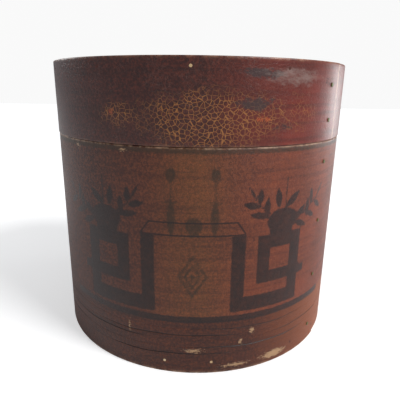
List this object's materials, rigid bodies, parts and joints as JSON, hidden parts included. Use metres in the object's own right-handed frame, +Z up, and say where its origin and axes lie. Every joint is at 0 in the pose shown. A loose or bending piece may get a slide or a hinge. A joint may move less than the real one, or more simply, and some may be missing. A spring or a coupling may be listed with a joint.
{
  "type": "lacquered hat box",
  "caption": "Round box of bent lacquered wood with a deep lid that lifts off an inner collar.",
  "frame": {"origin": "middle of the underside, on the surface that the box stands on", "axes": "+Z up along the box's axis and the way the lid lifts; the painted front faces -Y; +X to the right seen from the front"},
  "size_m": [0.341, 0.341, 0.3109],
  "materials": {
    "body_lacquer": "aged painted lacquer",
    "lid_lacquer": "aged lacquer",
    "collar_wood": "thin lacquer",
    "plain_wood": "bare",
    "peg_bamboo": "bare",
    "old_brass": "verdigris"
  },
  "bodies": {
    "body": {"body_wall": "body_lacquer", "foot_hoop": "plain_wood", "collar": "collar_wood", "base_board_front": "plain_wood", "base_board_middle": "plain_wood", "base_board_back": "plain_wood", "base_board_dowel_front_left": "peg_bamboo", "base_board_dowel_front_right": "peg_bamboo", "base_board_dowel_back_left": "peg_bamboo", "base_board_dowel_back_right": "peg_bamboo", "base_peg_1": "peg_bamboo", "base_peg_2": "peg_bamboo", "base_peg_3": "peg_bamboo", "base_peg_4": "peg_bamboo", "base_peg_5": "peg_bamboo", "base_peg_6": "peg_bamboo", "base_peg_7": "peg_bamboo", "base_peg_8": "peg_bamboo", "base_peg_9": "peg_bamboo", "base_peg_10": "peg_bamboo", "base_peg_11": "peg_bamboo", "base_peg_12": "peg_bamboo", "base_peg_13": "peg_bamboo", "base_peg_14": "peg_bamboo", "base_peg_15": "peg_bamboo", "base_peg_16": "peg_bamboo", "base_peg_17": "peg_bamboo", "base_peg_18": "peg_bamboo", "base_peg_19": "peg_bamboo", "base_peg_20": "peg_bamboo", "base_peg_21": "peg_bamboo", "base_peg_22": "peg_bamboo", "body_lap_nail_1": "old_brass", "body_lap_nail_2": "old_brass", "body_lap_nail_3": "old_brass", "body_lap_nail_4": "old_brass"},
    "lid": {"lid_wall": "lid_lacquer", "lid_board_front": "lid_lacquer", "lid_board_middle": "lid_lacquer", "lid_board_back": "lid_lacquer", "lid_board_dowel_front_left": "peg_bamboo", "lid_board_dowel_front_right": "peg_bamboo", "lid_board_dowel_back_left": "peg_bamboo", "lid_board_dowel_back_right": "peg_bamboo", "lid_peg_1": "peg_bamboo", "lid_peg_2": "peg_bamboo", "lid_peg_3": "peg_bamboo", "lid_peg_4": "peg_bamboo", "lid_peg_5": "peg_bamboo", "lid_peg_6": "peg_bamboo", "lid_peg_7": "peg_bamboo", "lid_peg_8": "peg_bamboo", "lid_peg_9": "peg_bamboo", "lid_peg_10": "peg_bamboo", "lid_peg_11": "peg_bamboo", "lid_peg_12": "peg_bamboo", "lid_lap_nail_1": "old_brass", "lid_lap_nail_2": "old_brass"}
  },
  "joints": [
    {"name": "lid_lift", "type": "slide", "parent": "body", "child": "lid", "axis": [0, 0, 1], "range_m": [0, 0.12]}
  ]
}
